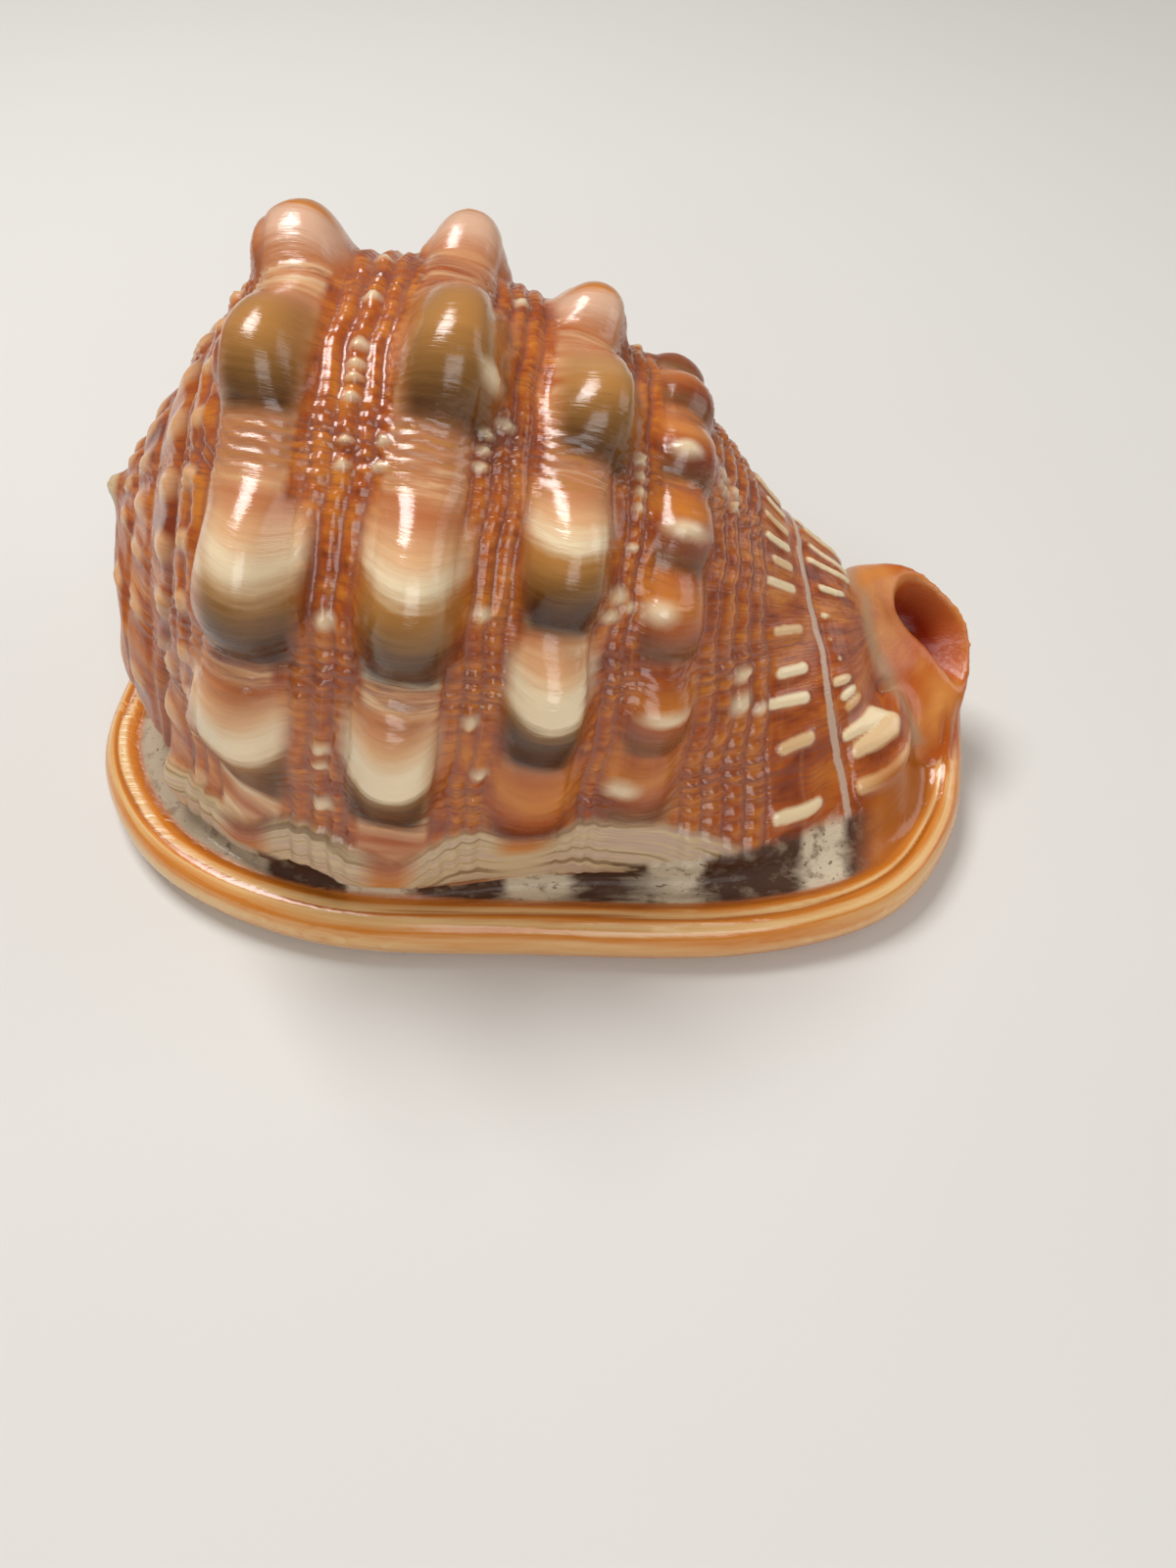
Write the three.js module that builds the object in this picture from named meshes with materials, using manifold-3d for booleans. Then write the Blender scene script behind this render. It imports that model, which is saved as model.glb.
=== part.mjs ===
// Bull-mouth helmet shell lying on its aperture, in millimetres.
// +X runs from the apex to the siphonal canal, +Z is up, -Y is the outer lip and +Y the parietal shield.
// It is one grown piece: a coiled body with rows of knobs, a rolled rim all round its foot,
// a recurved siphonal canal, and a narrow toothed aperture that opens underneath into the last whorl.
import * as THREE from "three";
import { mergeVertices } from "three/addons/utils/BufferGeometryUtils.js";
import Module from "manifold-3d";

// Driving dimensions of the coil. Angles round it are 0 on the lip side, 90 on top and 180 on the
// shield side.
const APEX = new THREE.Vector3(-70, 8.5, 49);
const AXIS_TILT = 10; // degrees that the axis drops towards the canal
const AXIS_YAW = -3; // degrees that the canal end swings towards the lip
const GROWTH_PER_TURN = 1.42; // how much the radius grows in one whorl
const SECTION_ANGLE = -20; // where the half section below is true to size
const LIP_ANGLE = -45; // where the body runs into the lip
const SHIELD_ANGLE = 200; // where the body goes under the shield
const FLARE_FROM = 50; // where the whorl starts to widen towards the lip
const FLARE_OVER = 74; // degrees that it takes to widen in full
const SHORTEN_PER_TURN = 0.1; // how much shorter the whorl is along its axis one turn back
const SUTURE_RADIUS = 29; // where the last whorl meets the spire
const SPIRE_BULGE = 0.045; // of the radius, between two sutures

// Half section of the last whorl and the spire, as [distance from apex, radius].
const PROFILE = [
  [0, 0], [1.2, 2.2], [3.6, 3.4], [6, 7.5], [11, 17], [17.2, 29], [21, 36], [26, 42.5], [32, 46.3],
  [45, 48.6], [57, 48.5], [70, 46], [81, 42.2], [92, 37], [102, 29], [111, 20.5], [120, 14.5],
  [130, 9], [134, 0],
];
const PROFILE_STEPS = 44;
const BACK_STEPS = 54; // round the visible back, from lip to shield
const TIP_STEP = 0.2; // the smallest ring, at the apex
const UNDER_STEPS = 8; // round the part that the foot hides

// How far the whorl reaches sideways where it comes down on the lip, as [distance from apex, reach].
const LIP_REACH = [
  [0, 0], [2.6, 3], [4.5, 13], [8, 22], [14, 28], [20, 34], [31, 42.5], [40, 46], [50, 49.5], [60, 50],
  [74, 47], [87, 45.5], [102, 45], [112, 44], [122, 41], [130, 30], [134, 0],
];
const BODY_FLOOR = 3; // the underside of the body lies inside the foot

// Rows of knobs that follow the coil: where the row lies, how high its ridge and knobs stand,
// half of a knob's size along the axis and round the coil, and the angle of each knob.
const KNOB_ROWS = [
  { at: 32.5, ridge: 1.6, height: 6.5, along: 9.5, round: 14, angles: [-4, 27, 67, 104, 146, 190] },
  { at: 55.5, ridge: 2.2, height: 6.5, along: 9, round: 13.5, angles: [-2, 29, 71, 116, 158] },
  { at: 75.5, ridge: 1.6, height: 4.8, along: 8, round: 11, angles: [-12, 12, 39, 71, 102, 133, 165] },
  { at: 92, ridge: 1.2, height: 2.8, along: 6.5, round: 7, angles: [-9, 9, 31, 51, 71, 93, 114, 137, 160] },
];

// The foot: its outline on the table, and the middle line of the aperture beneath.
const OUTLINE = [
  [-79, -4], [-74.5, -23], [-60, -40], [-34, -51], [0, -53], [34, -53], [58, -46], [71, -31], [76, -13],
  [75, 6], [62, 24], [40, 36], [10, 45], [-22, 48], [-52, 41], [-73, 22],
];
const APERTURE_LINE = [[-54, -16], [-30, -23], [0, -26], [30, -23], [52, -15], [64, -9]];
const FOOT_STEPS = 60;
const CLOSE_TO_MIDDLE = 0.97; // the last ring of the foot stops just short of the middle line
const RIM_HEIGHT = 9.3;

// Section through the rim and the channel behind it: [distance in from the outline, height].
const FOOT_SECTION = [
  [60, 26], [30, 22], [21, 17.5], [15.5, 12], [12, 8.8], [8.5, 7.9], [6, 8.9], [3.5, RIM_HEIGHT],
  [1.4, 8.2], [0.2, 6], [0, 4], [1.2, 1.3], [3.6, 0], [13, 0], [22, 2.2], [60, 4],
];

// Aperture and the hollow of the last whorl above it.
const APERTURE_WIDTH = 10;
const SLOT_REACH = 14; // the slot's half height
const SLOT_HEIGHT = 8; // the height of its middle above the table
const HOLLOW = { centre: [-10, -18, 29], size: [84, 38, 36] };

// Siphonal canal: the line of its tube, its outer and inner half widths, and the slanting cut that
// opens it.
const CANAL_LINE = [[50, -12, 12], [59, -12, 12], [66, -10, 17], [66.5, -6, 24], [62, -1, 31], [55, 4, 38]];
const CANAL_OUTER = [8.8, 10.5];
const CANAL_BORE = [5.6, 6.4];
const CANAL_CUT = { point: [66, -5, 26], normal: [0.25, -0.42, 0.87] };

const CLEAN_TOLERANCE = 0.06; // slivers that the cuts leave are merged away
const SHELL_COLOUR = 0xb0642f;

const wasm = await Module();
wasm.setup();

const radians = THREE.MathUtils.degToRad;
const smooth = (x) => THREE.MathUtils.smoothstep(x, 0, 1);

const axisDirection = new THREE.Vector3(
  Math.cos(radians(AXIS_TILT)) * Math.cos(radians(AXIS_YAW)),
  Math.cos(radians(AXIS_TILT)) * Math.sin(radians(AXIS_YAW)),
  -Math.sin(radians(AXIS_TILT)),
);
const lipWard = new THREE.Vector3(0, -1, 0).projectOnPlane(axisDirection).normalize();
const backWard = new THREE.Vector3().crossVectors(lipWard, axisDirection).normalize();

// How far round the coil an angle lies from the lip. Under the foot it runs back to the lip.
function turnsBack(angle) {
  if (angle <= SHIELD_ANGLE) return (angle - SECTION_ANGLE) / 360;
  const under = (angle - SHIELD_ANGLE) / (360 + LIP_ANGLE - SHIELD_ANGLE);
  return (THREE.MathUtils.lerp(SHIELD_ANGLE, LIP_ANGLE, smooth(under)) - SECTION_ANGLE) / 360;
}

// The plain whorl's radius, widened on the lip side so that it comes down steeply on the lip.
function whorlRadius(along, radius, angle) {
  const near = angle > SHIELD_ANGLE ? angle - 360 : angle;
  const hidden = angle > SHIELD_ANGLE ? (360 + LIP_ANGLE - angle) / (360 + LIP_ANGLE - SHIELD_ANGLE) : 0;
  if (near > FLARE_FROM) return radius;
  const towardsLip = Math.min(1, (FLARE_FROM - near) / FLARE_OVER) ** 2.5;
  const reach = THREE.MathUtils.lerp(radius, lipReach(along), towardsLip);
  const flared = near < 0 ? reach / Math.cos(radians(Math.max(near, LIP_ANGLE))) : reach;
  return THREE.MathUtils.lerp(flared, radius, smooth(hidden));
}

function lipReach(along) {
  const next = Math.max(1, LIP_REACH.findIndex(([at]) => at >= along));
  const [[from, low], [to, high]] = [LIP_REACH[next - 1], LIP_REACH[next]];
  return THREE.MathUtils.mapLinear(along, from, to, low, high);
}

// A rounded knob, steeper on the side towards the lip.
function knob(row, along, round) {
  const skewed = round > 0 ? round / 1.25 : round / 0.85;
  const reach = (along / row.along) ** 2 + (skewed / row.round) ** 2;
  return reach < 1 ? (1 - reach) ** 1.5 : 0;
}

// Height of the knobs and ridges over the plain whorl.
function relief(along, radius, angle) {
  let height = 0;
  for (const row of KNOB_ROWS) {
    const aside = (along - row.at) / row.along;
    if (Math.abs(aside) < 1) height += row.ridge * (1 - aside * aside) ** 2;
    for (const at of row.angles)
      height += row.height * knob(row, along - row.at, radians(angle - at) * radius);
  }
  return height;
}

// The steps of the earlier whorls on the spire, each bulging out from its suture.
function spireSteps(radius) {
  if (radius < 3 || radius >= SUTURE_RADIUS) return 0;
  const whorl = Math.log(radius / SUTURE_RADIUS) / Math.log(GROWTH_PER_TURN);
  return SPIRE_BULGE * radius * Math.sin(Math.PI * (whorl - Math.floor(whorl))) ** 0.7;
}

function fromCoil(along, radius, angle) {
  const turns = turnsBack(angle);
  const r = whorlRadius(along, radius, angle) * GROWTH_PER_TURN ** -turns;
  const point = APEX.clone()
    .addScaledVector(axisDirection, along * (1 - SHORTEN_PER_TURN * turns))
    .addScaledVector(lipWard, r * Math.cos(radians(angle)))
    .addScaledVector(backWard, r * Math.sin(radians(angle)));
  return point.setZ(Math.max(point.z, BODY_FLOOR));
}

// A closed skin over rings of points, with a fan at each end. Each ring has the same number of points.
function skin(rings) {
  const count = rings[0].length;
  const vertices = rings.flat();
  const faces = [];
  for (let k = 0; k + 1 < rings.length; k++)
    for (let i = 0; i < count; i++) {
      const a = k * count + i;
      const b = k * count + ((i + 1) % count);
      faces.push(a, b, b + count, a, b + count, a + count);
    }
  [0, rings.length - 1].forEach((k) => {
    const centre = new THREE.Vector3();
    rings[k].forEach((p) => centre.addScaledVector(p, 1 / count));
    vertices.push(centre);
    const tip = vertices.length - 1;
    for (let i = 0; i < count; i++) {
      const a = k * count + i;
      const b = k * count + ((i + 1) % count);
      faces.push(...(k === 0 ? [a, tip, b] : [b, tip, a]));
    }
  });
  return solid(new THREE.BufferGeometry().setFromPoints(vertices).setIndex(faces));
}

// A three.js geometry as a manifold-3d solid that faces out.
function solid(geometry) {
  const bare = geometry.clone();
  bare.deleteAttribute("normal");
  bare.deleteAttribute("uv");
  const merged = mergeVertices(bare, 1e-4);
  const triVerts = new Uint32Array(merged.index.array);
  const vertProperties = new Float32Array(merged.attributes.position.array);
  const made = new wasm.Manifold(new wasm.Mesh({ numProp: 3, vertProperties, triVerts }));
  if (made.volume() > 0) return made;
  for (let i = 0; i < triVerts.length; i += 3) {
    const second = triVerts[i + 1];
    triVerts[i + 1] = triVerts[i + 2];
    triVerts[i + 2] = second;
  }
  return new wasm.Manifold(new wasm.Mesh({ numProp: 3, vertProperties, triVerts }));
}

function geometryOf(manifold) {
  const mesh = manifold.getMesh();
  return new THREE.BufferGeometry()
    .setAttribute("position", new THREE.BufferAttribute(new Float32Array(mesh.vertProperties), 3))
    .setIndex(new THREE.BufferAttribute(new Uint32Array(mesh.triVerts), 1));
}

// The coiled body: the half section carried round the axis while it grows, with its knobs raised
// along the normal.
function body() {
  const section = new THREE.SplineCurve(PROFILE.map((p) => new THREE.Vector2(...p)));
  const angles = [];
  for (let i = 0; i < BACK_STEPS; i++)
    angles.push(LIP_ANGLE + ((SHIELD_ANGLE - LIP_ANGLE) * i) / BACK_STEPS);
  for (let i = 0; i < UNDER_STEPS; i++)
    angles.push(SHIELD_ANGLE + ((360 + LIP_ANGLE - SHIELD_ANGLE) * i) / UNDER_STEPS);
  const rings = [];
  for (let k = 0; k < PROFILE_STEPS; k++) {
    const share = Math.max(k, TIP_STEP) / PROFILE_STEPS;
    const point = section.getPointAt(share);
    const tangent = section.getTangentAt(share);
    rings.push(
      angles.map((angle) => {
        const lift = relief(point.x, point.y, angle) + spireSteps(point.y);
        return fromCoil(point.x - tangent.y * lift, point.y + tangent.x * lift, angle);
      }),
    );
  }
  return skin(rings);
}

// The foot: the section of rim and channel carried round the outline, closing on the aperture line.
function foot() {
  const corners = OUTLINE.map(([x, y]) => new THREE.Vector3(x, y, 0));
  const outline = new THREE.CatmullRomCurve3(corners, true, "centripetal");
  const [first, last] = [APERTURE_LINE[0][0], APERTURE_LINE.at(-1)[0]];
  const line = new THREE.SplineCurve(APERTURE_LINE.map((p) => new THREE.Vector2(...p)));
  const rings = FOOT_SECTION.map(() => []);
  for (let i = 0; i < FOOT_STEPS; i++) {
    const edge = outline.getPointAt(i / FOOT_STEPS);
    const along = THREE.MathUtils.clamp((edge.x - first) / (last - first), 0.02, 0.98);
    const middle = line.getPointAt(along);
    const inward = new THREE.Vector3(middle.x, middle.y, 0).sub(edge);
    const room = inward.length();
    FOOT_SECTION.forEach(([inset, height], k) => {
      const reach = Math.min(inset, room * CLOSE_TO_MIDDLE);
      const z = inset > reach ? (height * reach) / inset : height;
      rings[k].push(edge.clone().addScaledVector(inward, reach / room).setZ(z));
    });
  }
  return skin(rings);
}

// A tube of oval section along a line.
function tube(line, [across, deep]) {
  const section = new THREE.Shape().absellipse(0, 0, across, deep, 0, Math.PI * 2);
  const path = new THREE.CatmullRomCurve3(line.map((p) => new THREE.Vector3(...p)));
  return solid(new THREE.ExtrudeGeometry(section, { steps: 14, curveSegments: 7, extrudePath: path }));
}

// Everything beyond the slanting cut that opens the canal.
function beyondCut() {
  const half = new THREE.BoxGeometry(60, 60, 30).translate(0, 0, 15);
  const normal = new THREE.Vector3(...CANAL_CUT.normal).normalize();
  half.applyQuaternion(new THREE.Quaternion().setFromUnitVectors(new THREE.Vector3(0, 0, 1), normal));
  return solid(half.translate(...CANAL_CUT.point));
}

// The aperture slot along its line, from below the foot up into the hollow.
function aperture() {
  const middle = APERTURE_LINE.map(([x, y]) => new THREE.Vector3(x, y, SLOT_HEIGHT));
  const line = new THREE.CatmullRomCurve3(middle);
  const section = new THREE.Shape().absellipse(0, 0, SLOT_REACH, APERTURE_WIDTH / 2, 0, Math.PI * 2);
  return solid(new THREE.ExtrudeGeometry(section, { steps: 16, curveSegments: 6, extrudePath: line }));
}

function hollow() {
  const { centre, size } = HOLLOW;
  return solid(new THREE.SphereGeometry(0.5, 20, 14).scale(...size).translate(...centre));
}

const shell = body()
  .add(foot())
  .add(tube(CANAL_LINE, CANAL_OUTER).subtract(beyondCut()))
  .subtract(tube(CANAL_LINE, CANAL_BORE))
  .subtract(aperture())
  .subtract(hollow())
  .asOriginal()
  .simplify(CLEAN_TOLERANCE);

const geometry = geometryOf(shell);
geometry.computeBoundingBox();
const box = geometry.boundingBox;
const mesh = new THREE.Mesh(
  geometry,
  new THREE.MeshStandardMaterial({ color: SHELL_COLOUR, roughness: 0.3, metalness: 0 }),
);
mesh.name = "helmet_shell";
mesh.position.set(-(box.min.x + box.max.x) / 2, -(box.min.y + box.max.y) / 2, -box.min.z);

const group = new THREE.Group();
group.add(mesh);
export default group;
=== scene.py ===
import math

import bmesh
import bpy
import numpy as np
from mathutils import Matrix, Vector
from mathutils.bvhtree import BVHTree


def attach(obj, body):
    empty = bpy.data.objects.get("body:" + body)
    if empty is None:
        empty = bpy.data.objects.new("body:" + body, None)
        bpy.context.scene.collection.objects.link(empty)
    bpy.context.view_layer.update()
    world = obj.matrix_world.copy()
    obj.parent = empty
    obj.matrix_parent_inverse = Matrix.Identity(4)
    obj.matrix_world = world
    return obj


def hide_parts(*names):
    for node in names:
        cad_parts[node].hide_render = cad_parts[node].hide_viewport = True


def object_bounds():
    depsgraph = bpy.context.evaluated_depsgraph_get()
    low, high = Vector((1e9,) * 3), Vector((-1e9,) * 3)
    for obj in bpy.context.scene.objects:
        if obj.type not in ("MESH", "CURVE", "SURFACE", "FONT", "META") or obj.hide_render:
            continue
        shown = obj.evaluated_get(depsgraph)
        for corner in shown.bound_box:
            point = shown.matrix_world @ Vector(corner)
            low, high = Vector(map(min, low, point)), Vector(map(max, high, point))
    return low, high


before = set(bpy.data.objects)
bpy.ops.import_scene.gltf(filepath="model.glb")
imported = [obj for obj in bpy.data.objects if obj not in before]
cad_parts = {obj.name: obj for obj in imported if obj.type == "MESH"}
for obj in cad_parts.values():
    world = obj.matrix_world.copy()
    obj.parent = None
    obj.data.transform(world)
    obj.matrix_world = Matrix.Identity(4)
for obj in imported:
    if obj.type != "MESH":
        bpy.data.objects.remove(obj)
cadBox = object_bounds()
scene = bpy.context.scene

# The shell is drawn in millimetres from its own origin, then set in the frame by its lowest corner.
shell = {
    "lowCorner": (-79.0, -53.7, 0.0),
    "voxel": 0.68,
    "mostTriangles": 196000,
}

# The coil: angles run from 0 on the lip side over the top at 90 to the shield side at 180.
coil = {
    "apex": (-70.0, 8.5, 49.0),
    "tilt": 10.0,
    "yaw": -3.0,
    "growth": 1.42,  # of the radius in one turn
    "trueAt": -20.0,  # where the half section has its stated size
    "lipAt": -45.0,
    "shieldAt": 200.0,
    "shorten": 0.1,  # of the length in one turn back
    "flareFrom": 50.0,
    "floor": 3.0,
    "section": [
        (0, 0), (1.2, 2.2), (3.6, 3.4), (6, 7.5), (11, 17), (17.2, 29), (21, 36), (26, 42.5), (32, 46.3),
        (45, 48.6), (57, 48.5), (70, 46), (81, 42.2), (92, 37), (102, 29), (111, 20.5), (119, 14.6),
        (126, 10), (131, 0.01),
    ],
    "lipReach": [
        (0, 0), (2.6, 3), (4.5, 13), (8, 22), (14, 28), (20, 34), (31, 42.5), (40, 46), (50, 49.5),
        (60, 50), (74, 47), (87, 45.5), (102, 45), (112, 43.5), (121, 40), (129, 29), (133, 0),
    ],
    "sectionSteps": 190,
    "turnSteps": 260,
}

# Rows of knobs: place along the axis, the band that links them, and the size of a knob. Each knob has
# its angle, its shift along the axis, its size, and its tone: 0 white with a dark foot of painted shade,
# 1 the same with a tan tip, 2 olive tan all over, 3 tan on top with a pale pink foot, 4 orange with a
# brown foot of painted shade; the dark foot is painted shade on the knob's lower, lip side.
knobRows = [
    {"at": 32.5, "band": 2.2, "half": 6.2, "high": 7.0, "along": 8.8, "round": 13.5,
     "knobs": [(-8, 0, 1, 0.2), (27, 2.2, 0.94, 0.7), (67, 0, 0.8, 2), (104, 0, 0.93, 3), (146, 0, 1, 3),
               (190, 0, 1, 3)]},
    {"at": 55.5, "band": 2.6, "half": 6.4, "high": 7.4, "along": 8.6, "round": 13.0,
     "knobs": [(-4, -1, 0.96, 0), (29, 0, 1, 1), (71, 1.6, 1.04, 2), (116, 0, 0.93, 3), (158, 0, 1, 3)]},
    {"at": 75.5, "band": 2.2, "half": 5.8, "high": 5.6, "along": 7.6, "round": 10.8,
     "knobs": [(-12, 0, 1, 4), (12, 0, 1, 0), (39, 0, 1, 1), (71, 2.2, 1, 1.9), (102, 0, 0.93, 3),
               (133, 0, 1, 3), (165, 0, 1, 3)]},
    {"at": 92.0, "band": 1.3, "half": 5.0, "high": 2.9, "along": 6.2, "round": 7.0,
     "knobs": [(-9, -1, 1, 4), (9, 0, 1, 4), (31, 0, 1, 4), (51, 0, 1, 4), (71, 0, 1, 4), (93, 0, 1, 4),
               (114, 0, 1, 4), (137, 0, 1, 4), (160, 0, 1, 4)]},
]


def lerp(a, b, t):
    return a + (b - a) * t


def ease(low, high, x):
    t = np.clip((x - low) / (high - low), 0.0, 1.0)
    return t * t * (3 - 2 * t)


def bump(x, half):
    return np.exp(-((x / half) ** 2))


def curveThrough(points, count, closed=False):
    p = np.array(points, float)
    p = np.vstack([p[-1], p, p[0], p[1]]) if closed else np.vstack([p[0], p, p[-1]])
    reach = np.r_[0, np.cumsum(np.linalg.norm(np.diff(p[1:-1], axis=0), axis=1))]
    reach = np.arange(len(reach), dtype=float) if closed else reach
    spots = np.linspace(0, reach[-1], count, endpoint=not closed)
    at = np.clip(np.searchsorted(reach, spots, side="right") - 1, 0, len(reach) - 2)
    t = ((spots - reach[at]) / (reach[at + 1] - reach[at]))[:, None]
    a, b, c, d = p[at], p[at + 1], p[at + 2], p[at + 3]
    return 0.5 * (2 * b + (c - a) * t + (2 * a - 5 * b + 4 * c - d) * t**2 + (3 * b - a - 3 * c + d) * t**3)


def readPoints(mesh):
    co = np.empty(len(mesh.vertices) * 3, np.float32)
    mesh.vertices.foreach_get("co", co)
    return co.reshape(-1, 3).astype(float)


def writePoints(mesh, points):
    mesh.vertices.foreach_set("co", points.astype(np.float32).ravel())
    mesh.update()


def toObject(bm, name):
    bmesh.ops.remove_doubles(bm, verts=bm.verts, dist=1e-4)
    bmesh.ops.recalc_face_normals(bm, faces=bm.faces)
    mesh = bpy.data.meshes.new(name)
    bm.to_mesh(mesh)
    bm.free()
    obj = bpy.data.objects.new(name, mesh)
    scene.collection.objects.link(obj)
    return obj


def applyModifier(obj, kind, **settings):
    modifier = obj.modifiers.new(kind, kind)
    for key, value in settings.items():
        setattr(modifier, key, value)
    evaluated = obj.evaluated_get(bpy.context.evaluated_depsgraph_get())
    mesh = bpy.data.meshes.new_from_object(evaluated)
    obj.modifiers.clear()
    old, obj.data = obj.data, mesh
    bpy.data.meshes.remove(old)


# The coil's own directions: along its axis, towards the lip, and up over the back
apex = np.array(coil["apex"])
tilt, yaw = math.radians(coil["tilt"]), math.radians(coil["yaw"])
axisWay = np.array([math.cos(tilt) * math.cos(yaw), math.cos(tilt) * math.sin(yaw), -math.sin(tilt)])
lipWay = np.array([0.0, -1.0, 0.0]) - axisWay * -axisWay[1]
lipWay /= np.linalg.norm(lipWay)
backWay = np.cross(lipWay, axisWay)


def turnsBack(angle):
    over = np.clip(angle, None, coil["shieldAt"])
    under = ease(coil["shieldAt"], 360 + coil["lipAt"], angle)
    return (lerp(over, coil["lipAt"], under) - coil["trueAt"]) / 360


def whorlRadius(along, radius, angle):
    near = np.where(angle > coil["shieldAt"], angle - 360, angle)
    lipAgain = 360 + coil["lipAt"]
    hidden = np.clip((lipAgain - angle) / (lipAgain - coil["shieldAt"]), 0, 1)
    hidden = np.where(angle > coil["shieldAt"], hidden, 0)
    towardsLip = np.clip((coil["flareFrom"] - near) / (coil["flareFrom"] + 24), 0, 1) ** 2.5
    lipAlong, lipSide = np.array(coil["lipReach"], float).T
    flared = lerp(radius, np.interp(along, lipAlong, lipSide), towardsLip)
    below = np.radians(np.clip(near, coil["lipAt"], 0))
    flared = np.where(near < 0, flared / np.cos(below), flared)
    closed = lerp(flared, radius, hidden * hidden * (3 - 2 * hidden))
    return np.where(near > coil["flareFrom"], radius, closed)


def fromCoil(along, radius, angle):
    turns = turnsBack(angle)
    r = whorlRadius(along, radius, angle) * coil["growth"] ** -turns
    a = along * (1 - coil["shorten"] * turns)
    turn = np.radians(angle)
    points = apex + a[:, None] * axisWay
    points += (r * np.cos(turn))[:, None] * lipWay + (r * np.sin(turn))[:, None] * backWay
    points[:, 2] = np.maximum(points[:, 2], coil["floor"])
    return points


def toCoil(points):
    q = points - apex
    side, up = q @ lipWay, q @ backWay
    angle = np.degrees(np.arctan2(up, side))
    angle = np.where(angle < -100, angle + 360, angle)
    turns = turnsBack(np.where(angle < coil["lipAt"], angle + 360, angle))
    turns = np.where(angle < coil["lipAt"], (coil["lipAt"] - coil["trueAt"]) / 360, turns)
    radius = np.hypot(side, up) * coil["growth"] ** turns
    return q @ axisWay / (1 - coil["shorten"] * turns), radius, angle


def knobShape(row, along, around):
    # around is the distance past the knob in mm: steep towards the lip, drawn out the other way
    skewed = np.where(around > 0, around / 1.3, around / 0.85)
    reach = np.abs(along / row["along"]) ** 2.2 + np.abs(skewed / row["round"]) ** 2.2
    steepness = lerp(1.15, 1.8, ease(-0.5, 0.5, around / row["round"]))
    return np.clip(1 - reach, 0, 1) ** steepness


def knobsAndBands(along, radius, angle):
    height = np.zeros_like(along)
    for row in knobRows:
        aside = np.clip(np.abs(along - row["at"]) / row["half"], 0, 1)
        height += row["band"] * (1 - aside**4) ** 1.5
        for at, shift, size, _ in row["knobs"]:
            across, around = along - row["at"] - shift, np.radians(angle - at) * radius
            height += row["high"] * size * knobShape(row, across / size, around / size)
    return height


def makeBody():
    bm = bmesh.new()
    section = curveThrough(coil["section"], coil["sectionSteps"])
    chain = [bm.verts.new((a, -r, 0)) for a, r in section]
    for low, high in zip(chain, chain[1:]):
        bm.edges.new((low, high))
    bmesh.ops.spin(bm, geom=bm.verts[:] + bm.edges[:], axis=(1, 0, 0), cent=(0, 0, 0),
                   angle=-2 * math.pi, steps=coil["turnSteps"], use_merge=True)
    # the small ring at the canal end widens with the lip, so it is closed by a face
    ending = [edge for edge in bm.edges if edge.is_boundary and edge.verts[0].co.x > section[-1, 0] / 2]
    bmesh.ops.contextual_create(bm, geom=ending)
    body = toObject(bm, "body")
    p = readPoints(body.data)
    along, radius = p[:, 0], np.maximum(np.hypot(p[:, 1], p[:, 2]), 1e-6)
    angle = np.degrees(np.arctan2(p[:, 2], -p[:, 1]))
    angle = np.where(angle < coil["lipAt"], angle + 360, angle)
    slope = np.gradient(section[:, 1], section[:, 0])
    slope = np.interp(along, section[:, 0], np.clip(slope, -3, 3))
    lift = knobsAndBands(along, radius, angle) / np.sqrt(1 + slope**2)
    writePoints(body.data, fromCoil(along - slope * lift, radius + lift, angle))
    return body


# The foot: its outline on the table, the middle of the aperture, and the section of rim and channel.
foot = {
    "outline": [
        (-79, -4), (-74.5, -23), (-60, -40), (-34, -51), (0, -53), (34, -53), (58, -46), (71, -31),
        (76, -13), (75, 6), (62, 24), (40, 36), (10, 45), (-22, 48), (-52, 41), (-73, 22),
    ],
    "middle": [(-54, -16), (-30, -23), (0, -26), (30, -23), (52, -15), (64, -9)],
    "middleSteps": 80,
    "section": [  # (inset from the outline, height)
        (60, 26), (30, 22), (21, 17.5), (15.5, 12), (12, 8.8), (8.5, 7.9), (6, 8.9), (3.5, 9.3), (1.4, 8.2),
        (0.2, 6), (0, 4), (1.2, 1.3), (3.6, 0), (13, 0), (22, 2.2), (60, 4),
    ],
    "steps": 300,
    "sectionSteps": 90,
    "canalRise": 0.7,  # how much higher the rim stands where it meets the canal
    "blocks": [(-43.7, -30), (-18.7, -4.4), (6.3, 18.7), (27.6, 44), (51.3, 57.4)],  # brown, in the channel
}


def loft(rings, name):
    # A ring of vertices is extruded from place to place, and both ends are closed
    bm = bmesh.new()
    made = bmesh.ops.create_circle(bm, segments=len(rings[0]), radius=1)["verts"]
    for vert, place in zip(made, rings[0]):
        vert.co = place
    edges = bm.edges[:]
    bmesh.ops.contextual_create(bm, geom=edges)
    for ring in rings[1:]:
        out = bmesh.ops.extrude_edge_only(bm, edges=edges)["geom"]
        edges = [g for g in out if isinstance(g, bmesh.types.BMEdge)]
        fresh = [g for g in out if isinstance(g, bmesh.types.BMVert)]
        for vert, place in zip(fresh, ring):
            vert.co = place
    bmesh.ops.contextual_create(bm, geom=edges)
    return toObject(bm, name)


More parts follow.
